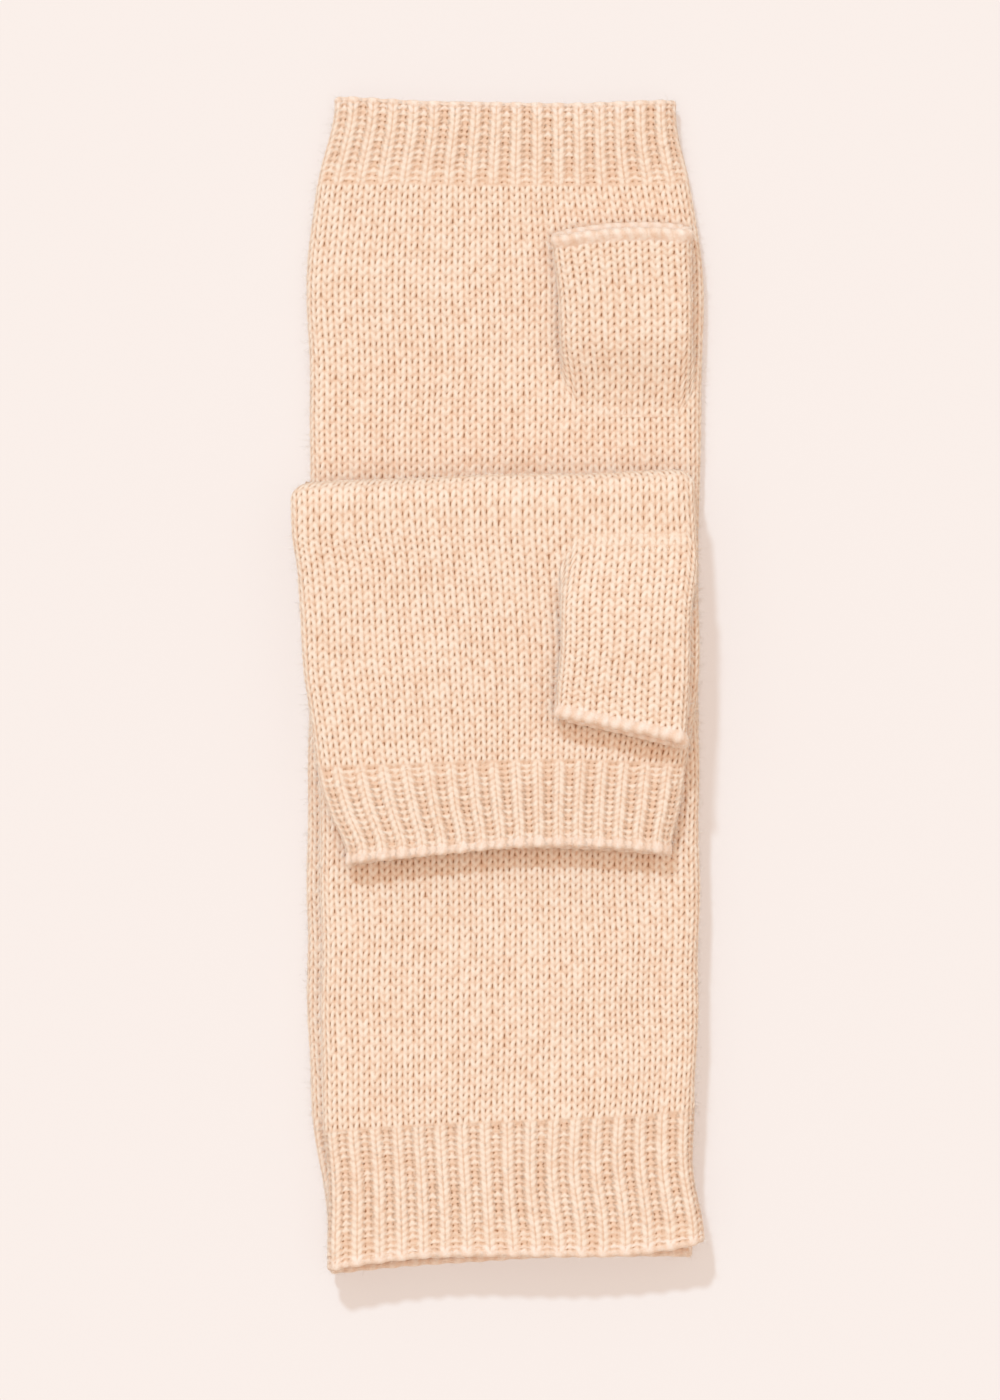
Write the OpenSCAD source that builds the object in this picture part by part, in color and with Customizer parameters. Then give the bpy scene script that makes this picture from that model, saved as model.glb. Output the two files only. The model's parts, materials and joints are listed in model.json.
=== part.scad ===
// A pair of long knitted fingerless gloves. The lower glove lies flat. The upper glove lies on it,
// cuff on cuff, and is folded over so that its hand lies face up on its own forearm.
// Millimetres. +Y points to the finger end, +Z is up, and the lower glove lies on z = 0.

/* [Fabric] */
// Thickness of one wall of plain jersey
wall = 1.4; // [1.2:0.1:1.5]
// Thickness of one wall of rib or of a cast-off edge
rib_wall = 1.5; // [1.3:0.1:1.5]
// Height of a glove lying flat: two walls and the hollow between them
glove_t = 7.4; // [7.4:0.1:8.4]
// Height of a thumb lying flat
thumb_t = 7.2; // [7.2:0.1:8]
// Air between two layers of fabric that can move apart
gap = 0.3; // [0.2:0.1:0.5]
// Diameter of a linked seam
seam_d = 1.2; // [0.8:0.1:1.4]
// Air between a linked seam and the wall beside it
seam_gap = 0.85; // [0.8:0.05:1.2]

/* [Lengths] */
// Middle of the lower glove's finger end, measured from the middle of the glove
finger_y = 149.4; // [140:0.2:160]
// Middle of the lower glove's cuff hem, measured the same way
cuff_y = -147.2; // [-160:0.1:-140]
// Depth of the rib at the finger end, with its edge
finger_rib_l = 21.5; // [16:0.5:26]
// Depth of the rib at the cuff, with its edge
cuff_rib_l = 37; // [30:0.5:45]
// Depth of a cast-off edge
edge_l = 3; // [2:0.5:4]

/* [Widths] */
// Width of a glove across the hand
hand_w = 100; // [92:0.5:102]
// Width across the finger end
finger_w = 88; // [82:0.5:90]
// Width across the lower cuff
cuff_w = 93; // [88:0.5:96]
// Width across the upper cuff, which flares
flare_w = 97; // [90:0.5:98]
// Width across the fold of the upper glove
fold_w = 102.8; // [100:0.1:105]

/* [Thumb] */
// Width of a thumb at its root
thumb_w = 33; // [30:0.5:34]
// Width of a thumb at its mouth
mouth_w = 36; // [32:0.5:36.5]
// Back of the lower thumb's root
under_root_y = 83; // [78:0.5:88]
// Middle of the lower thumb's mouth
under_mouth_y = 118.2; // [114:0.2:120]

/* [Fold] */
// Front of the upper glove's fold
fold_y = 53.5; // [50:0.5:56]
// Slant of the fold and of the fabric that starts there, over half the width
fold_tilt = 1.4; // [0:0.1:2]
// Middle of the upper glove's finger end as it lies folded
folded_y = -42; // [-46:0.1:-38]
// Back of the upper thumb's root as it lies folded
over_root_y = 24.6; // [22:0.2:27]
// Middle of the upper thumb's mouth as it lies folded
over_mouth_y = -12.8; // [-15:0.2:-10]

/* [Hidden] */
jersey_colour = "#f2d3bb";
rib_colour = "#eecbb1";
edge_colour = "#f6dcc8";
seam_colour = "#d9b397";

// Segments of a section's round side, of its flat side, and of a quarter turn
round_n = 6;
flat_n = 4;
bend_n = 5;
seam_n = 8;

seam_r = seam_d / 2;
layer_h = glove_t + gap;
under_z = glove_t / 2;
arm_z = under_z + layer_h;
hand_z = arm_z + layer_h;

// The fold is half a turn of the flat tube around fold_cy, between the two upper layers
fold_z = (arm_z + hand_z) / 2;
fold_r = layer_h / 2;
fold_cy = fold_y - fold_r - glove_t / 2;

// A thumb leaves its slit upwards and turns a quarter turn about the front edge of the slit
thumb_r = gap + thumb_t / 2;
under_turn_y = under_root_y + thumb_r + thumb_t / 2;
over_turn_y = over_root_y - thumb_r - thumb_t / 2;
under_palm_z = glove_t;
over_palm_z = hand_z + glove_t / 2;

// Each row across a flat tube is [middle y, middle x, width, bow, tilt, curl]. Bow, tilt and curl move
// the row along y by their value times u squared, u and u cubed, with u from -1 to 1 across it.
function inward(row, dy) = [row[0] + dy, row[1], row[2], row[3], row[4], row[5]];

under_cuff = [cuff_y, 3.4, cuff_w, -1.6, 2.2, 0];
under_finger = [finger_y, 1.9, finger_w, 0.9, -0.5, 0];
under_cuff_row = [cuff_y + cuff_rib_l, 1.4, hand_w - 2, 0, 0.8, 0];
under_finger_row = [finger_y - finger_rib_l, 1.3, hand_w - 5, 0.6, 0, 0];
under_rows = [
    under_cuff_row,
    [-60, 1.3, hand_w, 0, 0, 0],
    [20, 1.5, hand_w, 0, 0, 0],
    [73, 2.1, hand_w + 0.6, 0, 0, 0],
    [114, 1.6, hand_w, 0, 0, 0],
    under_finger_row
];

over_cuff = [-146.3, 4.5, flare_w, 0, 0, 3.5];
over_cuff_waist = [-124, 3.1, flare_w - 3, 0, 1.5, 1];
over_cuff_row = [-111.6, 3.05, flare_w - 1.7, 0, 2.8, 0];
fold_row = [fold_cy, -0.8, fold_w, 0, fold_tilt, 0];
arm_rows = [
    over_cuff_row,
    [-60, 3, hand_w - 3.2, 0, 0, 0],
    [10, 1.9, hand_w - 1.4, 0, 0, 0],
    fold_row
];

over_finger = [folded_y, 2.85, finger_w - 4.3, -2.7, 1.4, 0];
over_finger_waist = [folded_y + finger_rib_l / 2, 2, finger_w + 0.8, -1.5, 1, 0];
over_finger_row = [folded_y + finger_rib_l + 0.8, 1.15, hand_w - 6.1, -1, 0.4, 0];
hand_rows = [
    over_finger_row,
    [-4, 1.2, hand_w - 1.2, 0, 0, 0],
    [20, 0.4, hand_w + 1.8, 0, 0, 0],
    [30, 0, fold_w - 0.8, 0, 0, 0],
    fold_row
];

under_mouth = [under_mouth_y, 32, mouth_w, -1.6, 0.8, 0];
under_thumb_row = [under_turn_y + gap, 33.9, thumb_w, 0, 0, 0];
over_mouth = [over_mouth_y, 31.4, mouth_w - 2.7, 0, -3.5, 0];
over_thumb_row = [over_turn_y - gap, 32.6, thumb_w, 0, 0, 0];

// Origin of the frame: below the middle of the whole pair
function row_y(row, u) = row[0] + row[3] * u * u + row[4] * u + row[5] * pow(u, 3);
centre_x = ((fold_row[1] - fold_w / 2) + (over_cuff[1] + flare_w / 2)) / 2;
centre_y = (row_y(under_finger, -1) + row_y(under_cuff, -1)) / 2;

// Section of a flat tube as [x, height] points: a round side, a flat side, and the same again
function section(row, t, inset) =
    let (b = t / 2, c = row[2] / 2 - b, r = b - inset, m = row[1])
    concat(
        [for (i = [0 : round_n]) let (a = -90 + 180 * i / round_n) [m + c + r * cos(a), r * sin(a)]],
        [for (i = [1 : flat_n - 1]) [m + c - 2 * c * i / flat_n, r]],
        [for (i = [0 : round_n]) let (a = 90 + 180 * i / round_n) [m - c + r * cos(a), r * sin(a)]],
        [for (i = [1 : flat_n - 1]) [m - c + 2 * c * i / flat_n, -r]]
    );

// The same section lying across the tube at its row
function ring(row, t, inset) =
    [for (p = section(row, t, inset)) [p[0], row_y(row, 2 * (p[0] - row[1]) / row[2]), p[1]]];

// The same section turned about a line along x, at height z through y, with its middle r away
function turned(row, t, inset, y, z, r, angle) =
    [for (p = section(row, t, inset)) [
        p[0],
        y + row_y(row, 2 * (p[0] - row[1]) / row[2]) - row[0] + (r - p[1]) * cos(angle),
        z + (r - p[1]) * sin(angle)
    ]];

// Triangles between two rings of n points that start at points a and b
function band(a, b, n) =
    [for (i = [0 : n - 1]) let (j = (i + 1) % n) for (f = [[a + i, a + j, b + j], [a + i, b + j, b + i]]) f];

// Closed shell: the rings follow the outside from end to end and come back along the inside
module shell(outer, inner) {
    n = len(outer[0]);
    rings = concat(outer, [for (k = [len(inner) - 1 : -1 : 0]) inner[k]]);
    polyhedron(
        points = [for (r = rings) each r],
        faces = [for (k = [0 : len(rings) - 1]) each band(k * n, (k + 1) % len(rings) * n, n)]
    );
}

// Flat tube through a list of rows
module sleeve(rows, t, inset) {
    shell([for (r = rows) ring(r, t, 0)], [for (r = rows) ring(r, t, inset)]);
}

// Flat tube turned about a line along x
module bend(rows, t, inset, y, z, r, angles) {
    last = len(rows) - 1;
    shell(
        [for (k = [0 : last]) turned(rows[k], t, 0, y, z, r, angles[k])],
        [for (k = [0 : last]) turned(rows[k], t, inset, y, z, r, angles[k])]
    );
}

// Linked seam along the inside of a tube's left side. It stops short of the cast-off edges.
module seam(rows) {
    inset = rib_wall + seam_gap + seam_r;
    rings = [for (row = rows) [for (i = [0 : seam_n - 1]) let (a = 360 * i / seam_n) [
        row[1] - row[2] / 2 + inset + seam_r * cos(a),
        row_y(row, 2 * inset / row[2] - 1),
        seam_r * sin(a)
    ]]];
    last = len(rings) - 1;
    polyhedron(
        points = [for (r = rings) each r],
        faces = concat(
            [for (k = [0 : last - 1]) each band(k * seam_n, (k + 1) * seam_n, seam_n)],
            [[for (i = [seam_n - 1 : -1 : 0]) i]],
            [[for (i = [0 : seam_n - 1]) last * seam_n + i]]
        )
    );
}

// Puts a piece in the frame at a height
module lay(z) {
    translate([-centre_x, -centre_y, z]) children();
}

// Slit in the palm that a thumb opens out of
module slit(row, turn_y, way) {
    width = thumb_w - thumb_t;
    depth = thumb_t - 2 * wall;
    translate([row[1] - width / 2, turn_y + way * (gap + thumb_t / 2) - depth / 2, 0])
        cube([width, depth, glove_t]);
}

module under_body() {
    color(jersey_colour) lay(under_z) difference() {
        sleeve(under_rows, glove_t, wall);
        slit(under_thumb_row, under_turn_y, -1);
    }
}

module under_finger_rib() {
    color(rib_colour) lay(under_z) sleeve([under_finger_row, inward(under_finger, -edge_l)], glove_t, rib_wall);
}

module under_finger_edge() {
    color(edge_colour) lay(under_z) sleeve([inward(under_finger, -edge_l), under_finger], glove_t, rib_wall);
}

module under_cuff_rib() {
    color(rib_colour) lay(under_z) sleeve([inward(under_cuff, edge_l), under_cuff_row], glove_t, rib_wall);
}

module under_cuff_edge() {
    color(edge_colour) lay(under_z) sleeve([under_cuff, inward(under_cuff, edge_l)], glove_t, rib_wall);
}

module under_side_seam() {
    color(seam_colour) lay(under_z)
        seam(concat([inward(under_cuff, edge_l)], under_rows, [inward(under_finger, -edge_l)]));
}

module under_thumb_base() {
    rows = [for (k = [0 : bend_n]) under_thumb_row];
    angles = [for (k = [0 : bend_n]) 90 + 90 * k / bend_n];
    color(jersey_colour) lay(0)
        bend(rows, thumb_t, wall, under_turn_y, under_palm_z, thumb_r, angles);
}

module under_thumb() {
    color(jersey_colour) lay(under_palm_z + thumb_r)
        sleeve([under_thumb_row, inward(under_mouth, -edge_l)], thumb_t, wall);
}

module under_thumb_edge() {
    color(edge_colour) lay(under_palm_z + thumb_r)
        sleeve([inward(under_mouth, -edge_l), under_mouth], thumb_t, wall);
}

module under_thumb_seam() {
    color(seam_colour) lay(under_palm_z + thumb_r) seam([under_thumb_row, inward(under_mouth, -edge_l)]);
}

module over_forearm() {
    color(jersey_colour) lay(arm_z) sleeve(arm_rows, glove_t, wall);
}

module over_cuff_rib() {
    color(rib_colour) lay(arm_z)
        sleeve([inward(over_cuff, edge_l), over_cuff_waist, over_cuff_row], glove_t, rib_wall);
}

module over_cuff_edge() {
    color(edge_colour) lay(arm_z) sleeve([over_cuff, inward(over_cuff, edge_l)], glove_t, rib_wall);
}

module over_forearm_seam() {
    color(seam_colour) lay(arm_z) seam(concat([inward(over_cuff, edge_l), over_cuff_waist], arm_rows));
}

module over_fold() {
    rows = [for (k = [0 : 2 * bend_n]) fold_row];
    angles = [for (k = [0 : 2 * bend_n]) -90 + 90 * k / bend_n];
    color(jersey_colour) lay(0) bend(rows, glove_t, wall, fold_cy, fold_z, fold_r, angles);
}

module over_hand() {
    color(jersey_colour) lay(hand_z) difference() {
        sleeve(hand_rows, glove_t, wall);
        slit(over_thumb_row, over_turn_y, 1);
    }
}

module over_finger_rib() {
    color(rib_colour) lay(hand_z)
        sleeve([inward(over_finger, edge_l), over_finger_waist, over_finger_row], glove_t, rib_wall);
}

module over_finger_edge() {
    color(edge_colour) lay(hand_z) sleeve([over_finger, inward(over_finger, edge_l)], glove_t, rib_wall);
}

module over_hand_seam() {
    color(seam_colour) lay(hand_z)
        seam(concat([inward(over_finger, edge_l), over_finger_waist], hand_rows));
}

module over_thumb_base() {
    rows = [for (k = [0 : bend_n]) over_thumb_row];
    angles = [for (k = [0 : bend_n]) 90 * k / bend_n];
    color(jersey_colour) lay(0) bend(rows, thumb_t, wall, over_turn_y, over_palm_z, thumb_r, angles);
}

module over_thumb() {
    color(jersey_colour) lay(over_palm_z + thumb_r)
        sleeve([inward(over_mouth, edge_l), over_thumb_row], thumb_t, wall);
}

module over_thumb_edge() {
    color(edge_colour) lay(over_palm_z + thumb_r)
        sleeve([over_mouth, inward(over_mouth, edge_l)], thumb_t, wall);
}

module over_thumb_seam() {
    color(seam_colour) lay(over_palm_z + thumb_r) seam([inward(over_mouth, edge_l), over_thumb_row]);
}

under_body();
under_finger_rib();
under_finger_edge();
under_cuff_rib();
under_cuff_edge();
under_side_seam();
under_thumb_base();
under_thumb();
under_thumb_edge();
under_thumb_seam();
over_forearm();
over_cuff_rib();
over_cuff_edge();
over_forearm_seam();
over_fold();
over_hand();
over_finger_rib();
over_finger_edge();
over_hand_seam();
over_thumb_base();
over_thumb();
over_thumb_edge();
over_thumb_seam();
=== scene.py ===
import json
import math

import bpy
import numpy as np
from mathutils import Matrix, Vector


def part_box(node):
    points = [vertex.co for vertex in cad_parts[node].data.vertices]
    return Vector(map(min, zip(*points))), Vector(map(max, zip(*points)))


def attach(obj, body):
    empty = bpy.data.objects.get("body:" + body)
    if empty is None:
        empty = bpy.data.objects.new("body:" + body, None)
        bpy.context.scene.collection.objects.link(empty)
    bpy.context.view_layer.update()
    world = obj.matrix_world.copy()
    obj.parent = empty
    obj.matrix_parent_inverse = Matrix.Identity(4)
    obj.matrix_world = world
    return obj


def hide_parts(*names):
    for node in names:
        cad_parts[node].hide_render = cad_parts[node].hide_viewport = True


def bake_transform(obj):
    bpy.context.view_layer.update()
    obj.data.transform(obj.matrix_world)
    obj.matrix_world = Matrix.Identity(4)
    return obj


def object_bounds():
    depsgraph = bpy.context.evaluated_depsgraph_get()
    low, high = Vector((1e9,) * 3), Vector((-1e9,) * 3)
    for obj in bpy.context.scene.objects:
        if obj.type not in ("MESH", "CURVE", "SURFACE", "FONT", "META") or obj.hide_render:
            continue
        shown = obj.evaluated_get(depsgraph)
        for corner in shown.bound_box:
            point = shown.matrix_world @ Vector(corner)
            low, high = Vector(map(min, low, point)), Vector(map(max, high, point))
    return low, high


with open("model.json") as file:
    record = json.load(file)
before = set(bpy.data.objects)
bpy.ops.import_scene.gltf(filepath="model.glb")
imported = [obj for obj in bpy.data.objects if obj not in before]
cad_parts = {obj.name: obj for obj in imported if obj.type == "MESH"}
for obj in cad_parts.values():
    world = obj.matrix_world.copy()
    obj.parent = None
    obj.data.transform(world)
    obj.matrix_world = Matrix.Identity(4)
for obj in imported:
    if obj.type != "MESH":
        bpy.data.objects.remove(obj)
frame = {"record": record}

# A pair of long knitted fingerless gloves. Every wall of fabric is a dense mesh with its stitches in
# relief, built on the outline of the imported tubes. Metres. +Y is the lower glove's finger end, +Z is up.

cad_box = [list(map(float, corner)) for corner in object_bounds()]
JOINTS = {joint["name"]: joint for joint in frame["record"]["behaviour"]["joints"]}
MM = 0.001
SQUARE_CM = 1e-4

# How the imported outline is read
LEVEL = 0.02 * MM  # vertices no further apart in height than this lie on one level
ROW_GAP = 1.2 * MM  # and no further apart along Y than this, in one row

# Yarn and stitches
BODY_WALES = 70  # columns of stitches round a glove
THUMB_WALES = 24  # columns round a thumb
COURSE = 2.11 * MM  # height of a row of jersey
THUMB_COURSE = 2.03 * MM
RIB_COURSE = 1.67 * MM
PER_WALE = 8  # mesh points across a column
PER_COURSE = 5  # mesh points along a row
INNER_STEP = 4  # the inside has one point for this many round
JERSEY_DEPTH = 0.75 * MM  # of the relief
RIB_DEPTH = 0.95 * MM
JERSEY_WALL = 1.95 * MM
RIB_WALL = 2.1 * MM
# A cast-off edge: the radius of its lip, how far the lip stands above the stitches, and how much it
# follows the ribs or loops
LIP = {"rib": 1.0 * MM, "jersey": 1.45 * MM}
LIP_SWELL = {"rib": 0.1 * MM, "jersey": 0.95 * MM}
LIP_WAVE = {"rib": 0.3 * MM, "jersey": 0.25 * MM}
CUFF_LIP, HAND_LIP, FINGER_LIP, THUMB_LIP = 0.25, 0.0, 0.5, 0.0  # share of the edge before its lip begins
LIP_OUT = 1.5  # how strongly a lip's loose fibres point out of the tube
FUZZ = 32  # loose fibres in a square centimetre
FUZZ_SIDES = 4  # how many times more there are where the fabric turns away
FUZZ_WIDTH = 0.03 * MM  # half a fibre's thickness
SEAM_DEPTH = JERSEY_WALL + 0.7 * MM  # from a tube's outside to the middle of its seam's yarn
SEAM_RADIUS = 0.5 * MM
SEAM_TWIST = 1.6 * MM  # half a turn of its two plies
SEAM_STEP = 0.8 * MM

# How the flat tubes round off at their sides, and how far hand-made fabric wanders
BODY_CAP = 4.6 * MM
THUMB_CAP = 3.9 * MM
WANDER = 0.32 * MM
HEM_REACH = 1.7  # the bow of a hem dies out over this many times the rib's depth
SAG = 0.7 * MM
SAG_RUN = 10 * MM  # the sag begins this gently behind the fold
THUMB_SAG_RUN = 8 * MM  # and this gently on a thumb

# The bend of the upper glove
FOLD_REACH = 6.0 * MM  # straight fabric on either side of the bend that belongs to the fold's piece
FOLD_PINCH = 1.0 * MM  # the two inner walls stand this much further apart just behind the bend
PINCH_RUN = 14 * MM  # fabric over which they come to that
FOLD_SEAT = 0.85 * MM  # the two points given with the fold's piece lie this far below and above the bend's middle
SEAM_GAP = 2 * MM  # the seams stop this far from the fold's piece
FOLD_COURSES = 14
FOLD_LENGTH = FOLD_COURSES * COURSE * 0.82  # of the fabric's middle, round the bend
CORNER = 2.6 * MM  # radius of the fold's two ends, seen from above
CREASE = 2.2 * MM  # from the front of the fold to the deepest point of the crease inside it

# The roots and mouths of the thumbs
ROOT_RUN = 22 * MM  # length of the slope from palm to thumb
ROOT_EXTRA = {"lower": 1.6 * MM, "upper": 0.0}  # how much wider than its tube the fabric lies at the root
FOOT_BACK = 2.5 * MM  # the lower wall leaves the palm this far behind the hinge
UPPER_SINK = 0.05 * MM  # how far inside the palm the upper wall starts
LOWER_SINK = 0.5 * MM  # and the lower one
HINGE_REACH = 3.75 * MM  # the two points given with the thumb's pieces lie this far to either side of the hinge
MOUTH_STEP = 1.2 * MM  # the upper wall ends this much before the lower one
MOUTH_RUN = 14 * MM  # fabric over which it comes to that
LIP_REACH = 1.0 * MM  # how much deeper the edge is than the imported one

# Camera, light and table
CAMERA_HEIGHT = 2.4
VIEW_HEIGHT = 0.3584
AIM = (0.26 * MM, -3.74 * MM)
SENSOR = 24
WARM = (1.0, 0.886, 0.79)  # of the fill light and the world
WORLD_STRENGTH = 0.70
KEY_WAY, KEY_ANGLE = (0.27, -0.79, -1.0), 4.5
FILL_WAY, FILL_ANGLE = (0.04, -0.1, -1.0), 85
TABLE_GREY = (0.24, 0.24, 0.24, 1.0)
TABLE_GLOW = (0.583, 0.473, 0.418, 1.0)
TABLE_DROP = 0.15 * MM  # the table is this far below the frame's floor

# Colours of the yarns: painted shade between the stitches, their flanks, and painted light on top
JERSEY = ("#b17d59", "#ebc3a5", "#f8e1cc")
RIB = ("#a0683f", "#eac2a4", "#f8e2ce")
EDGE = ("#a87048", "#ecc5a8", "#fae6d6")
SEAM = ("#a06c42", "#d9b08e", "#f6dcc4")
LOOSE_FIBRE_GLOW = "#fff6ee"  # painted glow of fibres that stand away from the yarn, paler than the yarn as light through them looks
SHADE_STOPS = (0.08, 0.5, 1.0)
YARN_SHARE = 0.75  # share of the colour ramp that the yarn uses, before it leads over to the fibres' painted glow
LOOSE_SHADE = 1.6  # a shade beyond the end of the ramp, which gives the loose fibres their painted glow
SHEEN_TINT = "#ffeeda"
FIBRES, HAIRS, PATCHES = 2600, 5200, 60  # scales of the noise, in waves a metre
TONE_SHARE, FIBRE_SHARE, PATCH_SHARE = 0.045, 0.42, 0.1  # how much each changes the shade
BUMP_DEPTH = 0.16 * MM


def colour(text):
    """A hex colour as linear RGBA."""
    parts = [int(text[i : i + 2], 16) / 255 for i in (1, 3, 5)]
    return tuple(c / 12.92 if c <= 0.04045 else ((c + 0.055) / 1.055) ** 2.4 for c in parts) + (1.0,)


def ease(x):
    """0 up to 0 and 1 from 1 on, with a smooth passage between."""
    x = np.clip(x, 0, 1)
    return x * x * (3 - 2 * x)


def smooth(t, marks, values):
    """A curve through values at marks, with the slope of a parabola at each, straight on beyond its ends."""
    t, marks, values = np.asarray(t, float), np.asarray(marks, float), np.asarray(values, float)
    if len(marks) == 2:
        return values[0] + (values[1] - values[0]) * (t - marks[0]) / (marks[1] - marks[0])
    slope = np.gradient(values, marks)
    k = np.clip(np.searchsorted(marks, t) - 1, 0, len(marks) - 2)
    h = marks[k + 1] - marks[k]
    s = (t - marks[k]) / h
    c = np.clip(s, 0, 1)
    curve = (
        (1 + 2 * c) * (1 - c) ** 2 * values[k]
        + c * (1 - c) ** 2 * h * slope[k]
        + c * c * (3 - 2 * c) * values[k + 1]
        + c * c * (c - 1) * h * slope[k + 1]
    )
    return curve + (s - c) * h * np.where(s < 0, slope[k], slope[k + 1])


def unit(vectors):
    """The same directions, each of length 1."""
    return vectors / np.maximum(np.linalg.norm(vectors, axis=-1, keepdims=True), 1e-12)


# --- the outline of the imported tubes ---


def points_of(node):
    """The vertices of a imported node."""
    return np.array([v.co[:] for v in bpy.data.objects[node].data.vertices], float)


def box_of(*nodes):
    """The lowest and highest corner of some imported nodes."""
    low = np.min([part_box(n)[0][:] for n in nodes], axis=0)
    high = np.max([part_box(n)[1][:] for n in nodes], axis=0)
    return low, high


def rows_of(nodes, way):
    """Each row across these flat tubes, in order along y times way: its y at the left and right, and its
    x at the left and right."""
    sides = []
    for side in (-1, 1):
        found = []
        for node in nodes:
            low, high = box_of(node)
            points = points_of(node)
            level = np.abs(points[:, 2] - (low[2] + high[2]) / 2) < LEVEL
            outer = (points[:, 0] - (low[0] + high[0]) / 2) * side > 0
            found.extend(points[level & outer][:, :2].tolist())
        found.sort(key=lambda p: p[1] * way)
        rails = []
        for x, y in found:
            if rails and abs(y - rails[-1][1]) < ROW_GAP:
                if x * side > rails[-1][0] * side:
                    rails[-1] = (x, y)
            else:
                rails.append((x, y))
        sides.append(rails)
    return np.array([(a[1], b[1], a[0], b[0]) for a, b in zip(*sides, strict=True)])


def hem_of(node, way):
    """The bow of a tube's end across its flat top, as a cubic of u from -1 to 1, less its straight slant."""
    low, high = box_of(node)
    points = points_of(node)
    flat = points[points[:, 2] > high[2] - LEVEL]
    u = np.round(2 * (flat[:, 0] - (low[0] + high[0]) / 2) / (high[0] - low[0]), 3)
    across = np.unique(u)
    ends = [way * max(way * flat[u == a][:, 1]) for a in across]
    cubic = np.polyfit(across, ends, 3)
    left, right = np.polyval(cubic, -1), np.polyval(cubic, 1)
    cubic[3] -= (right + left) / 2
    cubic[2] -= (right - left) / 2
    return cubic


# --- smooth unevenness that pieces share, because it depends on the place alone ---

wave_seed = np.random.default_rng(11)
WAVES = [
    (
        wave_seed.normal(size=3) / (np.array([1, 1, 0.4]) * wave_seed.uniform(14, 60) * MM) * 2.2,
        wave_seed.uniform(0, 2 * math.pi, 3),
    )
    for _ in range(14)
]


def wander(p):
    """Three smooth waves at a point, mostly within -1 to 1: a shift in x, a shift in y and a sag."""
    total = np.zeros(p.shape)
    for along, phase in WAVES:
        total += np.sin((p @ along)[..., None] + phase)
    return total / math.sqrt(len(WAVES))


class Fabric:
    """A knitted tube lying flat. At t along it, it has a middle x, a width and a slant, and two walls whose
    middles run along near(t) and far(t), which give y and z. cap is how far its sides are rounded, half is
    half its height, hems are the bows of its ends, dips says where it may sag, and spread moves x."""

    def __init__(self, wales, cap, half, marks, across, near, far, hems, dips, spread=None):
        self.wales, self.cap, self.half = wales, cap, half
        self.marks, self.across = np.asarray(marks), np.asarray(across)
        self.near, self.far, self.hems, self.dips, self.spread = near, far, hems, dips, spread
        angle = np.linspace(0, math.pi, 181)
        x, z = cap * np.sin(angle), half * np.cos(angle)
        run = np.concatenate([[0], np.cumsum(np.hypot(np.diff(x), np.diff(z)))])
        self.cap_table = run, x, z / half

    def section(self, width, share):
        """x from the middle, and height from -1 to 1, at shares of the way round, from the left over the
        far wall."""
        run, cx, cz = self.cap_table
        arc = run[-1]
        c = width[:, None] / 2 - self.cap
        s = share * (4 * c + 2 * arc)
        left_up = s < arc / 2
        top = (s >= arc / 2) & (s < arc / 2 + 2 * c)
        right = (s >= arc / 2 + 2 * c) & (s < 1.5 * arc + 2 * c)
        bottom = (s >= 1.5 * arc + 2 * c) & (s < 1.5 * arc + 4 * c)
        on_cap = np.where(left_up, arc / 2 - s, np.where(right, s - arc / 2 - 2 * c, 2.5 * arc + 4 * c - s))
        x = (c + np.interp(on_cap, run, cx)) * np.where(right, 1, -1)
        q = np.interp(on_cap, run, cz)
        x = np.where(top, s - arc / 2 - c, np.where(bottom, 1.5 * arc + 3 * c - s, x))
        q = np.where(top, 1.0, np.where(bottom, -1.0, q))
        return x, q

    def at(self, t):
        """Points round the tube at each t, before any relief."""
        t = np.atleast_1d(np.asarray(t, float))
        middle, width, slant = (smooth(t, self.marks, column) for column in self.across.T)
        x, q = self.section(width, np.arange(self.wales * PER_WALE) / (self.wales * PER_WALE))
        u = 2 * x / width[:, None]
        share = (q + 1) / 2
        (near_y, near_z), (far_y, far_z) = self.near(t), self.far(t)
        y = near_y[:, None] + share * (far_y - near_y)[:, None] + slant[:, None] * u
        z = near_z[:, None] + share * (far_z - near_z)[:, None]
        for place, reach, cubic in self.hems:
            weight = 1 - ease(np.abs(t - place) / (reach * HEM_REACH))
            y = y + weight[:, None] * np.polyval(cubic, u)
        x = x + middle[:, None]
        if self.spread is not None:
            x = self.spread(t, x, share)
        p = np.stack([x, y, z], axis=2)
        shift = wander(p)
        p[..., :2] += WANDER * shift[..., :2]
        p[..., 2] -= SAG * np.clip(0.5 + 0.5 * shift[..., 2], 0, 1.3) * self.dips(t[:, None], share, u)
        return p

    def surface(self, t):
        """Points round the tube at each t, and the outward direction at each."""
        t = np.atleast_1d(np.asarray(t, float))
        step = 0.4 * MM
        p, before, after = self.at(t), self.at(t - step), self.at(t + step)
        normal = unit(np.cross(np.roll(p, -1, 1) - np.roll(p, 1, 1), after - before))
        if (normal * (p - np.roll(p, p.shape[1] // 2, 1))).sum() < 0:
            normal = -normal
        return p, normal


# --- stitches ---

stitch_seed = np.random.default_rng(5)
JITTER = stitch_seed.uniform(-1, 1, (101, 89, 2, 4))
LEG_LEAN = 0.23


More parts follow.
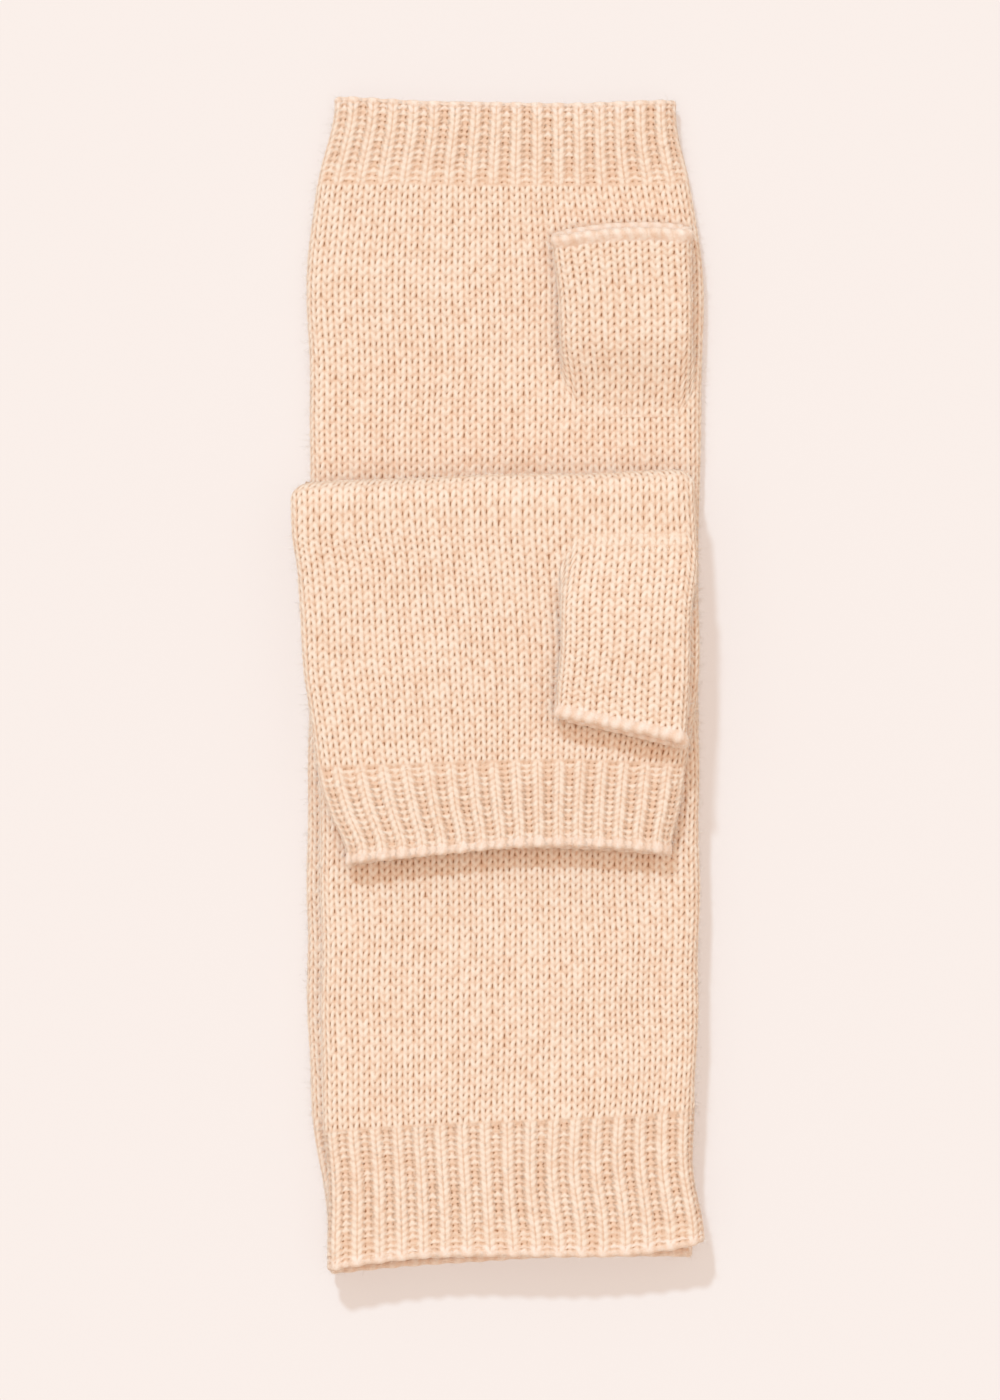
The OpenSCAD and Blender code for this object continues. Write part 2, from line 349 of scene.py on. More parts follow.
def legs(place, v, wale, side):
    """Height, yarn tone and place on the strand of one leg of each stitch, for points at this distance from
    the middle of the wale that the leg belongs to."""
    best = np.full(np.broadcast(place, v).shape, -1.0)
    tone, across_best, along_best = (np.zeros(best.shape) for _ in range(3))
    for step in (-1, 0, 1):
        course = np.floor(v) + step
        jitter = JITTER[course.astype(int) % 101, wale.astype(int) % 89, side]
        f = v - course + 0.06 * jitter[..., 3]
        centre = 0.25 + LEG_LEAN * (f - 0.5) + 0.03 * jitter[..., 0]
        half = 0.25 * (1 + 0.1 * jitter[..., 1])
        across = (place - centre) / half
        height = np.sqrt(np.clip(1 - np.abs(across) ** 2.6, 0, 1))
        height = height * np.sqrt(np.clip(1 - ((f - 0.45) / 0.8) ** 2, 0, 1))
        height = height * (1 + 0.09 * jitter[..., 2])
        won = height > best
        best = np.where(won, height, best)
        tone = np.where(won, jitter[..., 2], tone)
        across_best = np.where(won, across, across_best)
        along_best = np.where(won, f, along_best)
    return best, tone, across_best, along_best


def jersey(u, v):
    """Plain knit at u wales round and v courses along: height from 0 to 1, a paleness from 0 to 1 that paints
    shade where the yarn lies low and light where it stands high, yarn tone, and the place across and along
    the strand."""
    wale = np.floor(u)
    off = u - wale - 0.5
    side = (off >= 0).astype(int)
    own = legs(np.abs(off), v, wale, side)
    other = legs(1 - np.abs(off), v, wale + np.where(side == 1, 1, -1), 1 - side)
    won = own[0] >= other[0]
    height, tone, across, along = (np.where(won, a, b) for a, b in zip(own, other, strict=True))
    # the border between wales dips a little and is painted darker, as shade in that crease
    border = np.exp(-(((np.abs(off) - 0.5) / 0.07) ** 2)) * (1 + 0.3 * tone)
    return height - 0.08 * border, height - 0.1 * border, tone, across, along


KNIT_SHARE = 0.62


def ridge(u):
    """1 on the middle of a rib's knit wale, 0 on its purl wale."""
    at = u / 2 - np.floor(u / 2)
    return 0.5 + 0.5 * np.cos(2 * math.pi * (at - KNIT_SHARE / 2))


def rib(u, v):
    """One knit wale and one purl wale in turn, with what jersey gives."""
    pair = np.floor(u / 2)
    at = u / 2 - pair
    knit = (at - KNIT_SHARE / 2) / KNIT_SHARE
    purl = np.clip((at - (1 + KNIT_SHARE) / 2) / (1 - KNIT_SHARE), -0.5, 0.5)
    side = (knit >= 0).astype(int)
    height, tone, across, along = legs(np.clip(np.abs(knit) + 0.05, 0, 0.62), v, pair * 2, side)
    crown = np.sqrt(np.clip(1 - (1.45 * knit) ** 2, 0, 1))
    # the line between the two legs dips and is painted darker, as shade in it
    split = np.exp(-((knit / 0.035) ** 2))
    raised = crown * (0.55 + 0.45 * height) * (1 - 0.15 * split)
    # a purl stitch shows as a small arc that dips at both sides, with a hole beside it; the arc's top is
    # painted paler as light and the hole painted dark as shade
    jitter = JITTER[np.floor(v + 0.5).astype(int) % 101, (pair * 2 + 1).astype(int) % 89, 0]
    beside = 2 * np.abs(purl)
    beat = v + 0.14 * jitter[..., 0] + 0.32 * beside + 0.2 * purl * jitter[..., 3]
    bump = (0.5 + 0.5 * np.cos(2 * math.pi * beat)) ** 0.7
    hole = np.exp(-(((beside - 0.75) / 0.3) ** 2)) * (1 - bump) ** 1.3 * (1 - 0.35 * np.sign(purl))
    valley = 0.44 + 0.18 * bump - 0.4 * hole + 0.05 * jitter[..., 1]
    won = raised >= valley
    # painted shade: yarn that stands high is paler, while low yarn, the split and the holes are darker;
    # jitter adds tone at random
    knit_shade = 0.32 + 0.6 * height * (0.75 + 0.25 * crown) - 0.2 * split
    purl_shade = 0.58 + 0.22 * bump - 0.85 * hole + 0.1 * jitter[..., 2]
    knits = (raised, knit_shade, tone, across, along)
    purls = (valley, purl_shade, jitter[..., 2], beside, beat)
    return tuple(np.where(won, a, b) for a, b in zip(knits, purls, strict=True))


PATTERNS = {"jersey": (jersey, JERSEY_DEPTH, JERSEY_WALL), "rib": (rib, RIB_DEPTH, RIB_WALL)}


def relief(pattern, u, v, courses, first, start, end):
    """Depth below the outside, paleness (painted shade), and the rest of what the pattern gives, over a grid.
    start and end say whether jersey and rib meet at that end of the piece, in a sunk row of small marks
    painted dark as shade."""
    make, depth, _ = PATTERNS[pattern]
    height, shade, tone, across, along = make(u[None, :], (v + first)[:, None])
    sunk = (1 - height) * depth
    plain, ribbed = (make_row(u[None, :], np.zeros((1, 1))) for make_row in (jersey, rib))
    # along the join the relief sinks into one line, painted darker as shade, most at the purl wales
    line_sunk = 0.5 * (1 - plain[0]) * JERSEY_DEPTH + 0.5 * (1 - ribbed[0]) * RIB_DEPTH
    line_shade = 0.5 * (plain[1] + ribbed[1]) - 0.12 * (1 - ridge(u))
    for meets, far in ((start, v), (end, courses - v)):
        if meets:
            weight = (1 - ease(far / 0.35))[:, None]
            sunk = sunk + weight * (line_sunk - sunk)
            shade = shade + weight * (line_shade - shade)
    return sunk, shade, tone, across, along


# --- meshes ---


def mesh_piece(name, points, faces, uv, facts, sharp_rings=()):
    """A mesh from arrays: faces is a list of index arrays, each for one number of corners, uv matches it,
    and the edges along sharp_rings are sharp."""
    corners = np.concatenate([f.ravel() for f in faces]).astype(np.int32)
    sizes = np.concatenate([np.full(len(f), f.shape[1]) for f in faces]).astype(np.int32)
    mesh = bpy.data.meshes.new(name)
    mesh.vertices.add(len(points))
    mesh.vertices.foreach_set("co", points.astype(np.float32).ravel())
    mesh.loops.add(len(corners))
    mesh.polygons.add(len(sizes))
    mesh.loops.foreach_set("vertex_index", corners)
    mesh.polygons.foreach_set("loop_start", np.concatenate([[0], np.cumsum(sizes)[:-1]]).astype(np.int32))
    mesh.polygons.foreach_set("loop_total", sizes)
    mesh.polygons.foreach_set("use_smooth", np.ones(len(sizes), bool))
    layer = mesh.uv_layers.new(name="OFBake")
    layer.data.foreach_set("uv", np.concatenate([f.reshape(-1, 2) for f in uv]).astype(np.float32).ravel())
    mesh.update(calc_edges=True)
    for key, values in facts.items():
        kind, field = ("FLOAT", "value") if values.ndim == 1 else ("FLOAT_VECTOR", "vector")
        fact = mesh.attributes.new(key, kind, "POINT")
        fact.data.foreach_set(field, values.astype(np.float32).ravel())
    if len(sharp_rings):
        ends = np.empty(len(mesh.edges) * 2, np.int32)
        mesh.edges.foreach_get("vertices", ends)
        on_ring = np.zeros(len(points), bool)
        on_ring[np.concatenate(sharp_rings)] = True
        both = on_ring[ends.reshape(-1, 2)].all(axis=1)
        mesh.attributes.new("sharp_edge", "BOOLEAN", "EDGE").data.foreach_set("value", both)
    mesh.validate()
    obj = bpy.data.objects.new(name, mesh)
    bpy.context.collection.objects.link(obj)
    return obj


def quads(rows, columns, start, closed_rows=False):
    """Faces of a grid that closes round its columns, and their places on a unit square."""
    last = rows if closed_rows else rows - 1
    i, j = np.meshgrid(np.arange(last), np.arange(columns), indexing="ij")
    i, j = i.ravel(), j.ravel()
    i2, j2 = (i + 1) % rows, (j + 1) % columns
    faces = start + np.stack([i * columns + j, i * columns + j2, i2 * columns + j2, i2 * columns + j], axis=1)
    across = np.stack([j, j + 1, j + 1, j], axis=1) / columns
    along = np.stack([i, i, i + 1, i + 1], axis=1) / last
    return faces, np.stack([across, along], axis=2)


def outward(points, faces, uv, probe):
    """Turns every face over if the first group faces away from probe."""
    a, b, c = (points[faces[0][:, k]] for k in (0, 1, 2))
    if (np.cross(b - a, c - a) * probe).sum() < 0:
        faces = [f[:, ::-1] for f in faces]
        uv = [f[:, ::-1] for f in uv]
    return faces, uv


def fuzz(points, normal, density, seed):
    """Loose fibres on a grid of points: thin closed spikes that lie along the fabric, and stand out where it
    turns away at the sides. Gives their points, triangles and the grid point that each one starts from."""
    rng = np.random.default_rng(seed)
    rows, columns = points.shape[:2]
    normal = unit(normal)
    down = np.diff(points, axis=0).mean(axis=(0, 1))
    round_it = points[0] - np.roll(points[0], 1, axis=0)
    area = np.linalg.norm(down) * rows * np.linalg.norm(round_it, axis=1).sum()
    free = ease((0.75 - np.abs(normal[..., 2])) / 0.35).ravel()
    weight = np.cumsum(1 + FUZZ_SIDES * free)
    count = int(area / SQUARE_CM * density * weight[-1] / len(weight))
    chosen = np.searchsorted(weight, rng.uniform(0, weight[-1], count))
    i, j, free = chosen // columns, chosen % columns, free[chosen]
    root, n = points[i, j], normal[i, j]
    side = unit(np.cross(n, rng.normal(size=(count, 3))))
    lift = rng.uniform(0, 0.1, count) + free * rng.uniform(0.2, 1.5, count)
    length = rng.uniform(0.6, 1.5, count) ** 1.5 * (1 + 0.8 * free) * MM
    way = unit(side + n * lift[:, None])
    curl = np.cross(way, rng.normal(size=(count, 3))) * 0.35
    curl -= n * np.clip((curl * n).sum(axis=1, keepdims=True), 0, None) * (1 - free[:, None])
    across = unit(np.cross(way, n))
    thick = FUZZ_WIDTH * rng.uniform(0.7, 1.2, count)[:, None]
    start = root - n * 0.12 * MM
    middle = start + (way * 0.55 + curl * 0.3) * length[:, None]
    tip = start + (way + curl) * length[:, None]
    ring = [start + across * thick, start - across * thick, start + n * thick * 1.4]
    ring += [middle + across * thick * 0.8, middle - across * thick * 0.8, middle + n * thick]
    verts = np.stack([*ring, tip], axis=1).reshape(-1, 3)
    pattern = np.array([(0, 1, 2), (0, 3, 4), (0, 4, 1), (1, 4, 5), (1, 5, 2), (2, 5, 3), (2, 3, 0),
                        (3, 6, 4), (4, 6, 5), (5, 6, 3)])
    faces = (np.arange(count)[:, None, None] * 7 + pattern).reshape(-1, 3)
    return verts, faces, i, j


def finish_piece(obj, slot, node, move):
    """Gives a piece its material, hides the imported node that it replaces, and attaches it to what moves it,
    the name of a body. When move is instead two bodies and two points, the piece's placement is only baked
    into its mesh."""
    obj.data.materials.append(MATERIALS[slot])
    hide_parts(node)
    if isinstance(move, str):
        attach(obj, move)
    else:
        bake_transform(obj)
    return obj


def knitted(name, node, move, fabric, t0, t1, courses, pattern, first, start=False, end=False, fade=None):
    """One closed piece of a knitted tube from t0 to t1, with stitches outside and a plain inside. first is
    the pattern's course at t0, start and end are those of relief, and fade(t) flattens the relief."""
    rows, columns = courses * PER_COURSE + 1, fabric.wales * PER_WALE
    v = np.arange(rows) / PER_COURSE
    u = np.arange(columns) / PER_WALE
    t = t0 + (t1 - t0) * v / courses
    base, normal = fabric.surface(t)
    sunk, shade, tone, across, along = relief(pattern, u, v, courses, first, start, end)
    if fade is not None:
        sunk = sunk * fade(t)[:, None]
    outer = base - normal * sunk[..., None]
    wall = PATTERNS[pattern][2]
    inner = (base - normal * wall)[::PER_COURSE, ::INNER_STEP]
    deep, wide = inner.shape[:2]
    n_outer, n_inner = rows * columns, deep * wide
    points = np.concatenate([outer.reshape(-1, 3), inner.reshape(-1, 3)])
    outer_faces, outer_uv = quads(rows, columns, 0)
    inner_faces, inner_uv = quads(deep, wide, n_outer)
    ends, end_uv = [], []
    for row, inner_row, way in ((0, 0, -1), (rows - 1, deep - 1, 1)):
        k = np.arange(wide)
        around = [row * columns + (k * INNER_STEP + s) % columns for s in range(INNER_STEP + 1)]
        inside = [n_outer + inner_row * wide + (k + s) % wide for s in (1, 0)]
        face = np.stack(around + inside, axis=1)
        share = [(k + s / INNER_STEP) / wide for s in range(INNER_STEP + 1)]
        share += [(k + s) / wide for s in (1, 0)]
        level = [1.0] * (INNER_STEP + 1) + [0.9955] * 2
        place = np.stack([np.stack(share, axis=1), np.broadcast_to(level, (len(k), len(level)))], axis=2)
        if way < 0:
            face, place = face[:, ::-1], place[:, ::-1]
        ends.append(face)
        end_uv.append(place)
    faces = [outer_faces, inner_faces[:, ::-1], *ends]
    uv = [outer_uv * [1, 0.9], inner_uv[:, ::-1] * [1, 0.08] + [0, 0.91], *end_uv]
    faces, uv = outward(points, faces, uv, normal[:-1].reshape(-1, 3))
    inner_place = np.zeros(inner.shape)
    inner_place[..., 1] = np.arange(deep)[:, None]
    inner_place[..., 2] = np.arange(wide) * INNER_STEP / PER_WALE
    outer_place = np.stack([across, along, tone], axis=2)
    # knit carries the painted shade: that of the relief outside, and one darker painted shade all over the
    # plain inside
    facts = {
        "knit": np.concatenate([shade.ravel(), np.full(n_inner, 0.3)]),
        "tone": np.concatenate([tone.ravel(), np.zeros(n_inner)]),
        "strand": np.concatenate([outer_place.reshape(-1, 3), inner_place.reshape(-1, 3)]),
    }
    rings = [np.arange(columns), (rows - 1) * columns + np.arange(columns)]
    points, faces, uv, facts = with_fuzz(points, faces, uv, facts, outer, normal, len(name) + rows)
    obj = mesh_piece(name, points, faces, uv, facts, rings)
    return finish_piece(obj, pattern + "_knit", node, move)


def with_fuzz(points, faces, uv, facts, outer, normal, seed):
    """The same arrays, with loose fibres on the outside."""
    verts, spikes, i, j = fuzz(outer, normal, FUZZ, seed)
    rows, columns = outer.shape[:2]
    place = np.stack([j / columns, i / rows * 0.9], axis=1)
    place = np.repeat(place, 10, axis=0)[:, None, :] + np.array([[0, 0], [2e-4, 0], [0, 2e-4]])
    extra = len(verts)
    facts = {
        "knit": np.concatenate([facts["knit"], np.full(extra, LOOSE_SHADE)]),
        "tone": np.concatenate([facts["tone"], np.zeros(extra)]),
        "strand": np.concatenate([facts["strand"], np.zeros((extra, 3))]),
    }
    return np.concatenate([points, verts]), [*faces, spikes + len(points)], [*uv, place], facts


def cast_off(name, node, move, fabric, t_joint, t_end, pattern, first, lip_from):
    """A cast-off edge: a closed ring whose section carries the stitches on, swells into a lip, and rolls
    over to the inside. first is the pattern's course at the joint, and lip_from the share of the edge
    before the lip."""
    make, depth, wall = PATTERNS[pattern]
    lip_r, lip_swell, lip_wave = LIP[pattern], LIP_SWELL[pattern], LIP_WAVE[pattern]
    course = RIB_COURSE if pattern == "rib" else THUMB_COURSE
    length = abs(t_end - t_joint)
    way = math.copysign(1, t_end - t_joint)
    u = np.arange(fabric.wales * PER_WALE) / PER_WALE
    straight = np.linspace(0, 1, 12)[:-1] * (length - lip_r)
    angle = np.linspace(0, math.pi, 11)
    # distance from the joint, and height above the outside, along the section
    run = np.concatenate([straight, length - lip_r + lip_r * np.sin(angle), [0.4 * length, 0]])
    swell = ease((straight / (length - lip_r) - lip_from * 0.7) / (1 - lip_from * 0.7))
    swell = np.concatenate([swell, np.cos(angle / 2), [0, 0]]) * lip_swell
    curl = np.concatenate([np.zeros(len(straight)), lip_r * (np.cos(angle) - 1), [-2 * lip_r, -wall]])
    base, normal = fabric.surface(t_joint + way * run)
    height, shade, tone, across, along = make(u[None, :], (first + way * run / course)[:, None])
    lip = ease((run / length - lip_from) / 0.35)
    lip[len(straight) :] = 1
    lip = lip[:, None]
    jitter = JITTER[7, u.astype(int) % 89, 0, 1]
    turn = np.linspace(0, 1, len(run))[:, None]
    loops = 0.5 + 0.5 * np.cos(2 * math.pi * (u + 0.8 * turn) + 1.1 * jitter)
    waves = ridge(u) if pattern == "rib" else loops
    sunk = (1 - height) * depth * (1 - lip) + lip * (lip_wave * (1 - waves) + 0.06 * MM * (1 - loops))
    inside = np.ones(len(run))
    inside[-2:] = 0
    # the lip swells to the sky side, unevenly, and stays flat where it rests on something
    freely = 0.2 + 0.8 * ease(0.5 + 0.5 * normal[..., 2])
    freely *= 1 + 0.3 * np.sin(2.1 * u + 3 * fabric.wales) * np.sin(0.83 * u)
    offset = curl[:, None] + swell[:, None] * freely - sunk * inside[:, None]
    rolled = base + normal * offset[..., None]
    # a knit wale pushes the edge out a little
    out = np.sign(base[-3, 0, 1] - base[0, 0, 1])
    push = lip_wave * 0.9 * (waves - 0.5) * lip * inside[:, None] * np.clip(run / length, 0, 1)[:, None]
    rolled[..., 1] += push * out
    points = rolled.reshape(-1, 3)
    faces, place = quads(len(run), len(u), 0, closed_rows=True)
    place = place * [1, 0.98]
    probe = (normal * (np.arange(len(run)) < len(straight))[:, None, None]).reshape(-1, 3)
    faces, uv = outward(points, [faces], [place], probe)
    # the lip is painted paler, more on its loops and ribs, as light on the rolled yarn, and its part inside
    # the tube is painted darker, as shade
    shade = shade * (1 - lip) + lip * (0.66 + 0.13 * loops + 0.08 * waves)
    shade[-2:] = 0.3
    facts = {
        "knit": shade.ravel(),
        "tone": tone.ravel(),
        "strand": np.stack(np.broadcast_arrays(across, along, tone), axis=2).reshape(-1, 3),
    }
    shown = len(straight) + 6
    facing = normal[:shown].copy()
    facing[len(straight) :, :, 1] += LIP_OUT * out
    points, faces, uv, facts = with_fuzz(points, faces, uv, facts, rolled[:shown], facing, len(name))
    obj = mesh_piece(name, points, faces, uv, facts, [np.arange(len(u))])
    return finish_piece(obj, "edge_knit", node, move)


def seam_yarn(name, node, move, fabric, t0, t1):
    """The linked seam inside a tube's left side: two plies of yarn, twisted together."""
    count = max(12, int(abs(t1 - t0) / SEAM_STEP))
    t = np.linspace(t0, t1, count)
    base, normal = fabric.surface(t)
    line = (base - normal * SEAM_DEPTH)[:, 0]
    sides = 8
    angle = np.arange(sides) * 2 * math.pi / sides
    turn = t[:, None] / SEAM_TWIST * math.pi
    radius = SEAM_RADIUS * (1 + 0.22 * np.cos(2 * (angle - turn)))
    points = np.repeat(line[:, None, :], sides, axis=1)
    points[..., 0] += radius * np.cos(angle)
    points[..., 2] += radius * np.sin(angle)
    points = points.reshape(-1, 3)
    faces, place = quads(count, sides, 0)
    first = np.arange(sides)[None, :]
    last = (count - 1) * sides + np.arange(sides)[None, ::-1]
    corner = [0.5, 0.98] + 0.01 * np.stack([np.cos(angle), np.sin(angle)], axis=1)[None]
    outwards = np.stack([np.cos(angle), np.zeros(sides), np.sin(angle)], axis=1)
    faces, uv = [faces, first[:, ::-1], last[:, ::-1]], [place * [1, 0.95], corner, corner]
    faces, uv = outward(points, faces, uv, np.tile(outwards, (count - 1, 1)))
    plain = np.zeros(points.shape)
    facts = {"knit": plain[:, 0] + 0.7, "tone": plain[:, 0], "strand": plain}
    return finish_piece(mesh_piece(name, points, faces, uv, facts), "seam_yarn", node, move)


# --- materials ---


def set_inputs(node, values):
    """Gives a node's inputs their values, by name."""
    for name, value in values.items():
        node.inputs[name].default_value = value


def yarn(name, shades, twist, sheen):
    """Wool-like yarn, with painted shade between the stitches and painted light on top. twist says how
    steeply its plies wind.
    """
    material = bpy.data.materials.new(name)
    material.use_nodes = True
    tree = material.node_tree
    nodes, links = tree.nodes, tree.links
    nodes.clear()
    output = nodes.new("ShaderNodeOutputMaterial")
    shader = nodes.new("ShaderNodeBsdfPrincipled")
    links.new(shader.outputs["BSDF"], output.inputs["Surface"])
    set_inputs(shader, {"Roughness": 0.88, "Specular IOR Level": 0.25})
    set_inputs(shader, {"Sheen Weight": sheen, "Sheen Roughness": 0.4, "Sheen Tint": colour(SHEEN_TINT)})

    def attribute(key):
        node = nodes.new("ShaderNodeAttribute")
        node.attribute_name = key
        return node

    def noise(scale, detail, rough=0.5):
        node = nodes.new("ShaderNodeTexNoise")
        set_inputs(node, {"Scale": scale, "Detail": detail, "Roughness": rough})
        links.new(place.outputs["Object"], node.inputs["Vector"])
        return node

    def math_node(kind, first, second, third=None):
        node = nodes.new("ShaderNodeMath")
        node.operation = kind
        for k, value in enumerate((first, second, third)):
            if isinstance(value, (int, float)):
                node.inputs[k].default_value = value
            elif value is not None:
                links.new(value, node.inputs[k])
        return node.outputs[0]

    place = nodes.new("ShaderNodeTexCoord")
    knit, tone, strand = attribute("knit"), attribute("tone"), attribute("strand")
    fibres = noise(FIBRES, 3, 0.65)
    shade = math_node("MULTIPLY_ADD", tone.outputs["Fac"], TONE_SHARE, knit.outputs["Fac"])
    for grain, share in ((fibres, FIBRE_SHARE), (noise(PATCHES, 2), PATCH_SHARE)):
        shade = math_node("MULTIPLY_ADD", math_node("SUBTRACT", grain.outputs["Fac"], 0.5), share, shade)
    # the ramp turns the painted shade into colour: dark between the stitches, pale on their tops, and the
    # loose fibres' painted glow at its end
    ramp = nodes.new("ShaderNodeValToRGB")
    ramp.color_ramp.interpolation = "EASE"
    stops = ramp.color_ramp.elements
    stops[0].position = SHADE_STOPS[0] * YARN_SHARE
    stops[0].color = colour(shades[0])
    stops[1].position = 1.0
    stops[1].color = colour(LOOSE_FIBRE_GLOW)
    for stop, tint in zip(SHADE_STOPS[1:], shades[1:], strict=True):
        stops.new(stop * YARN_SHARE).color = colour(tint)
    links.new(math_node("MULTIPLY", shade, YARN_SHARE), ramp.inputs["Fac"])
    links.new(ramp.outputs["Color"], shader.inputs["Base Color"])

    parts = nodes.new("ShaderNodeSeparateXYZ")
    links.new(strand.outputs["Vector"], parts.inputs["Vector"])
    ply = math_node("MULTIPLY_ADD", parts.outputs["X"], 2.6, math_node("MULTIPLY", parts.outputs["Y"], twist))
    ply = math_node("SINE", ply, None)
    hairs = noise(HAIRS, 2, 0.7)
    height = math_node("MULTIPLY_ADD", ply, 0.3, fibres.outputs["Fac"])
    height = math_node("MULTIPLY_ADD", hairs.outputs["Fac"], 0.5, height)
    bump = nodes.new("ShaderNodeBump")
    set_inputs(bump, {"Strength": 0.6, "Distance": BUMP_DEPTH})
    links.new(height, bump.inputs["Height"])
    links.new(bump.outputs["Normal"], shader.inputs["Normal"])
    return material


MATERIALS = {
    "jersey_knit": yarn("jersey knit", JERSEY, 9.0, 0.8),
    "rib_knit": yarn("rib knit", RIB, 9.0, 0.8),
    "edge_knit": yarn("edge knit", EDGE, 6.0, 0.8),
    "seam_yarn": yarn("seam yarn", SEAM, 5.0, 0.2),
}


# --- the gloves ---


def levels(nodes):
    """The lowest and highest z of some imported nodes."""
    low, high = box_of(*nodes)
    return low[2], high[2]


def across_of(rows):
    """Middle x, width and slant of each row."""
    left_y, right_y, left_x, right_x = rows.T
    return np.stack([(left_x + right_x) / 2, right_x - left_x, (right_y - left_y) / 2], axis=1)


def cloth(fabric, t0, t1):
    """Takes the points round a knitted tube halfway between t0 and t1, and keeps nothing of them."""
    p = fabric.at((t0 + t1) / 2)[0]


def lower_glove():
    """The glove that lies straight. Gives its fabric for the thumb."""
    nodes = ["under_cuff_edge", "under_cuff_rib", "under_body", "under_finger_rib", "under_finger_edge"]
    rows = rows_of(nodes, 1)
    # t is the distance along Y of each row's middle
    row_y = rows[:, :2].mean(axis=1)
    bottom, top = levels(nodes)
    edge, rib_start = row_y[1], row_y[2]
    finger_rib, finger_edge, end = row_y[-3:]
    hems = [
        (row_y[0], rib_start - row_y[0], hem_of("under_cuff_edge", -1)),
        (end, end - finger_rib, hem_of("under_finger_edge", 1)),
    ]

    def wall(z):
        return lambda t: (t, np.full(t.shape, z))

    def dips(t, share, u):
        return share * (1 - ease((np.abs(u) - 0.8) / 0.2))

    half = (top - bottom) / 2
    across = across_of(rows)
    fabric = Fabric(BODY_WALES, BODY_CAP, half, row_y, across, wall(bottom), wall(top), hems, dips)
    cuff_courses = round((rib_start - edge) / RIB_COURSE)
    body_courses = round((finger_rib - rib_start) / COURSE)
    finger_courses = round((finger_edge - finger_rib) / RIB_COURSE)
    fabric.course = lambda t: (t - rib_start) / (finger_rib - rib_start) * body_courses
    # what moves these pieces, and their fabric
    part_of = ("lower_glove", fabric)
    parts = [
        cast_off("lower_cuff_edge", "under_cuff_edge", *part_of, edge, row_y[0], "rib", 0, CUFF_LIP),
        knitted(
            "lower_cuff_rib", "under_cuff_rib", *part_of, edge, rib_start, cuff_courses, "rib", 0, end=True
        ),
        knitted(
            "lower_finger_rib", "under_finger_rib", *part_of,
            finger_rib, finger_edge, finger_courses, "rib", 0, start=True,
        ),
        cast_off(
            "lower_finger_edge", "under_finger_edge", *part_of,
            finger_edge, end, "rib", finger_courses, FINGER_LIP,
        ),
        seam_yarn("lower_side_seam", "under_side_seam", *part_of, edge, finger_edge),
    ]
    piece = knitted(
        "lower_body", "under_body", *part_of, rib_start, finger_rib, body_courses, "jersey", 0, True, True
    )
    cloth(fabric, rib_start, finger_rib)
    return fabric


